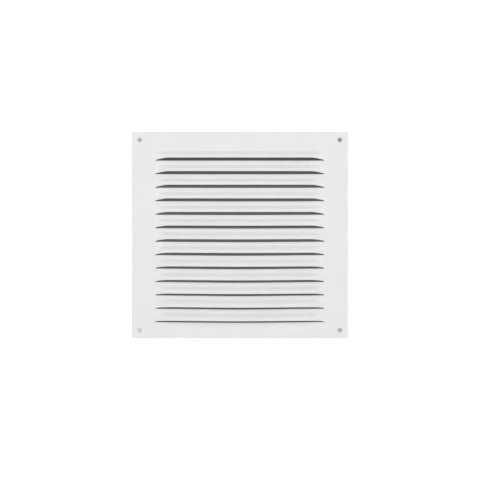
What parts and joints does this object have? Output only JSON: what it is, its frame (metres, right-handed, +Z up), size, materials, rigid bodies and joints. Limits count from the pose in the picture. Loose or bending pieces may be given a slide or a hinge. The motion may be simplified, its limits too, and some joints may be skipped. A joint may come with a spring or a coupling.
{
  "type": "louvred air grille",
  "caption": "Rectangular pressed-metal air grille with hooded horizontal louvres, screw holes in its corners and a framed insect screen behind.",
  "frame": {"origin": "centre of the plate's rear face, in the plane of the wall it is screwed to", "axes": "+Y into the wall, so the front faces -Y; +X to the right as seen from the front; +Z up"},
  "size_m": [0.2, 0.0101, 0.191],
  "materials": {
    "white_powder_coat": "satin",
    "charcoal_mesh": "matte",
    "mill_aluminium": "satin",
    "tape_foam": "matte"
  },
  "bodies": {
    "root": {"louvre_plate": "white_powder_coat", "insect_mesh": "charcoal_mesh", "screen_channel_top": "mill_aluminium", "screen_channel_bottom": "mill_aluminium", "screen_channel_left": "mill_aluminium", "screen_channel_right": "mill_aluminium", "bonding_tape_top": "tape_foam", "bonding_tape_bottom": "tape_foam", "bonding_tape_left": "tape_foam", "bonding_tape_right": "tape_foam"}
  },
  "joints": []
}
